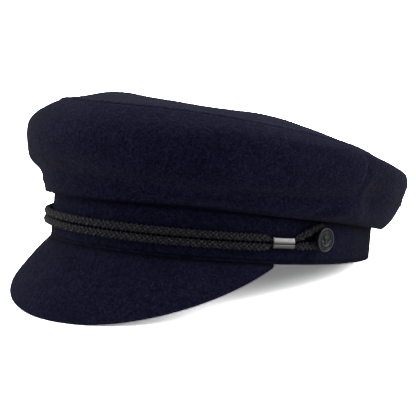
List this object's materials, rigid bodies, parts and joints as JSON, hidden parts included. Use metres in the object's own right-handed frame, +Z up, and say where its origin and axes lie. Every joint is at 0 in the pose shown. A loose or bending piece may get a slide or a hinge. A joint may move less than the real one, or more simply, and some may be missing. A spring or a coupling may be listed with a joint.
{
  "type": "fisherman cap",
  "caption": "Navy wool breton fisherman cap with a soft drooping crown, stiff peak and braided double chin cord held by metal ferrules and dark anchor buttons.",
  "frame": {"origin": "middle of the bounding box on the surface that the cap stands on", "axes": "+Z up, -Y towards the peak, +X towards the wearer's left"},
  "size_m": [0.2068, 0.2628, 0.1147],
  "materials": {
    "wool": "brushed wool melton, dark navy",
    "cord": "braided rayon cord, black with a slight sheen",
    "ferrule": "satin crimped metal",
    "button": "dark grey moulded with a soft shine"
  },
  "bodies": {
    "root": {"crown_top": "wool", "crown_front": "wool", "crown_back": "wool", "band": "wool", "peak": "wool", "chin_cord": "cord", "ferrule_left": "ferrule", "ferrule_right": "ferrule", "button_left": "button", "button_right": "button"}
  },
  "joints": []
}
